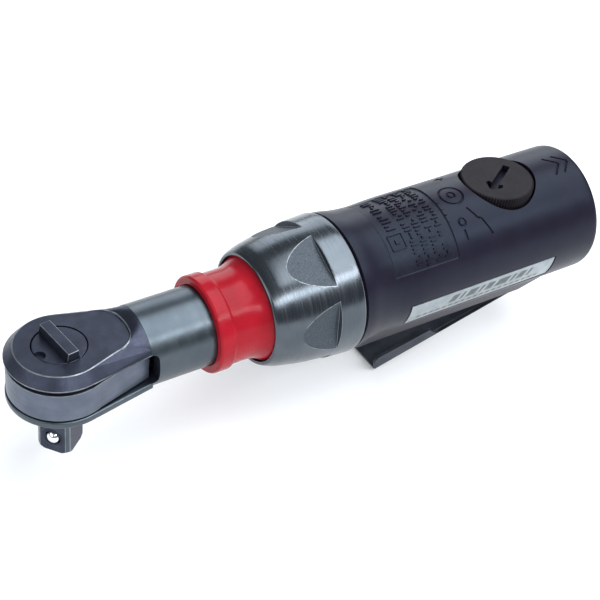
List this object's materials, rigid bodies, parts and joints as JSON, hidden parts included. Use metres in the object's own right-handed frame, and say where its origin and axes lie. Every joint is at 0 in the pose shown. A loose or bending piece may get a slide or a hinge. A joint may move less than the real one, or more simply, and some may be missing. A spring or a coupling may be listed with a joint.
{
  "type": "air ratchet",
  "caption": "Straight pneumatic ratchet wrench: forked head with square drive and reverser, red neck collar, flatted clamp nut, black handle with throttle lever and air regulator.",
  "frame": {"origin": "centre of the square drive's end face, on the drive axis", "axes": "+Z runs along the drive axis, from the square's end up through the head to the reverser; +X is parallel to the tool axis, from the head back to the air inlet"},
  "size_m": [0.1916, 0.0416, 0.0569],
  "materials": {
    "black_steel": "black oxide, satin, bright along worn edges",
    "yoke_steel": "ground steel with fine brush marks",
    "nut_steel": "black oxide on turned steel, matte on the wrench flats",
    "bright_steel": "bright steel",
    "gear_steel": "machined alloy steel, oiled",
    "bearing_steel": "polished bearing steel",
    "red_plastic": "moulded red plastic, satin gloss",
    "handle_composite": "black moulded composite, fine grain",
    "knob_plastic": "charcoal moulded plastic",
    "lever_paint": "dark grey coated sheet steel",
    "label_foil": "silver foil",
    "vane_laminate": "phenolic laminate",
    "seal_rubber": "nitrile rubber",
    "muffler_felt": "pressed felt",
    "motor_iron": "machined iron",
    "brass": "machined brass and bronze"
  },
  "bodies": {
    "handle": {"ratchet_housing": "black_steel", "neck_collar": "red_plastic", "clamp_nut": "nut_steel", "needle_bearing": "bearing_steel", "ring_gear": "gear_steel", "front_end_plate": "motor_iron", "front_bearing": "bearing_steel", "motor_cylinder": "motor_iron", "rear_end_plate": "motor_iron", "rear_bearing": "bearing_steel", "motor_gasket": "seal_rubber", "handle_housing": "handle_composite", "inlet_bushing": "bright_steel", "inlet_screen": "brass", "muffler_felt": "muffler_felt", "exhaust_cover": "handle_composite", "label_plate": "label_foil", "lever_pin": "bright_steel", "valve_guide": "brass", "valve_seat": "seal_rubber", "valve_spring": "gear_steel", "thrust_washer": "gear_steel", "retaining_ring": "bright_steel"},
    "rotor": {"rotor": "gear_steel", "vane_1": "vane_laminate", "vane_2": "vane_laminate", "vane_3": "vane_laminate", "vane_4": "vane_laminate", "vane_5": "vane_laminate"},
    "crank": {"crankshaft": "gear_steel", "planet_pin_1": "bright_steel", "planet_pin_2": "bright_steel", "planet_pin_3": "bright_steel"},
    "planet_1": {"planet_gear_1": "gear_steel"},
    "planet_2": {"planet_gear_2": "gear_steel"},
    "planet_3": {"planet_gear_3": "gear_steel"},
    "bushing": {"drive_bushing": "brass"},
    "yoke": {"ratchet_yoke": "yoke_steel"},
    "anvil": {"drive_anvil": "black_steel", "pawl_pin_a": "bright_steel", "pawl_pin_b": "bright_steel", "reverser_detent_ball": "bright_steel", "reverser_detent_spring": "gear_steel", "socket_detent_spring": "gear_steel"},
    "pawl_a": {"pawl_a": "gear_steel"},
    "pawl_b": {"pawl_b": "gear_steel"},
    "reverser": {"reverser_knob": "black_steel"},
    "socket_ball": {"socket_detent_ball": "bearing_steel"},
    "lever": {"throttle_lever": "lever_paint"},
    "valve": {"valve_stem": "bright_steel"},
    "regulator": {"regulator_knob": "knob_plastic", "regulator_seal": "seal_rubber"}
  },
  "joints": [
    {"name": "rotor_spin", "type": "hinge", "parent": "handle", "child": "rotor", "pos_m": [0.094, 0, 0.0255], "axis": [1, 0, 0], "continuous": true},
    {"name": "crank_spin", "type": "hinge", "parent": "handle", "child": "crank", "pos_m": [0.04, 0, 0.0255], "axis": [1, 0, 0], "continuous": true},
    {"name": "planet_1_spin", "type": "hinge", "parent": "crank", "child": "planet_1", "pos_m": [0.069, 0.0081, 0.0255], "axis": [1, 0, 0], "continuous": true},
    {"name": "planet_2_spin", "type": "hinge", "parent": "crank", "child": "planet_2", "pos_m": [0.069, -0.00405, 0.03252], "axis": [1, 0, 0], "continuous": true},
    {"name": "planet_3_spin", "type": "hinge", "parent": "crank", "child": "planet_3", "pos_m": [0.069, -0.00405, 0.01849], "axis": [1, 0, 0], "continuous": true},
    {"name": "bushing_turn", "type": "hinge", "parent": "crank", "child": "bushing", "pos_m": [0.0192, 0, 0.0265], "axis": [1, 0, 0], "continuous": true},
    {"name": "yoke_swing", "type": "hinge", "parent": "handle", "child": "yoke", "pos_m": [0, 0, 0.0255], "axis": [0, 0, 1], "range_deg": [-2.9, 2.9]},
    {"name": "anvil_spin", "type": "hinge", "parent": "handle", "child": "anvil", "pos_m": [0, 0, 0.0255], "axis": [0, 0, 1], "continuous": true},
    {"name": "reverser_turn", "type": "hinge", "parent": "anvil", "child": "reverser", "pos_m": [0, 0, 0.0348], "axis": [0, 0, 1], "range_deg": [0, 90]},
    {"name": "pawl_a_rock", "type": "hinge", "parent": "anvil", "child": "pawl_a", "pos_m": [-0.006, 0, 0.0255], "axis": [0, 0, 1], "range_deg": [-7, 0]},
    {"name": "pawl_b_rock", "type": "hinge", "parent": "anvil", "child": "pawl_b", "pos_m": [0.006, 0, 0.0255], "axis": [0, 0, 1], "range_deg": [-7, 0]},
    {"name": "socket_ball_press", "type": "slide", "parent": "anvil", "child": "socket_ball", "axis": [-0.7826, -0.6225, 0], "range_m": [-0.001, 0], "stiffness_N_per_m": 600, "springref_m": 0.0008},
    {"name": "lever_squeeze", "type": "hinge", "parent": "handle", "child": "lever", "pos_m": [0.16, 0, 0.0071], "axis": [0, 1, 0], "range_deg": [0, 7.5], "stiffness_Nm_per_rad": 2, "springref_deg": -17.19},
    {"name": "valve_lift", "type": "slide", "parent": "handle", "child": "valve", "axis": [0, 0, 1], "range_m": [0, 0.0018], "deforming": ["valve_spring"]},
    {"name": "regulator_turn", "type": "hinge", "parent": "handle", "child": "regulator", "pos_m": [0.1422, 0, 0.0447], "axis": [0, 0, 1], "range_deg": [-60, 90]}
  ],
  "couplings": [
    {"joint": "crank_spin", "follows": "rotor_spin", "ratio": 0.22222},
    {"joint": "planet_1_spin", "follows": "rotor_spin", "ratio": -0.62222},
    {"joint": "planet_2_spin", "follows": "rotor_spin", "ratio": -0.62222},
    {"joint": "planet_3_spin", "follows": "rotor_spin", "ratio": -0.62222},
    {"joint": "bushing_turn", "follows": "rotor_spin", "ratio": -0.22222},
    {"joint": "pawl_a_rock", "follows": "reverser_turn", "ratio": -0.07777},
    {"joint": "pawl_b_rock", "follows": "reverser_turn", "ratio": -0.07777},
    {"joint": "valve_lift", "follows": "lever_squeeze", "m_per_rad": 0.0133}
  ]
}
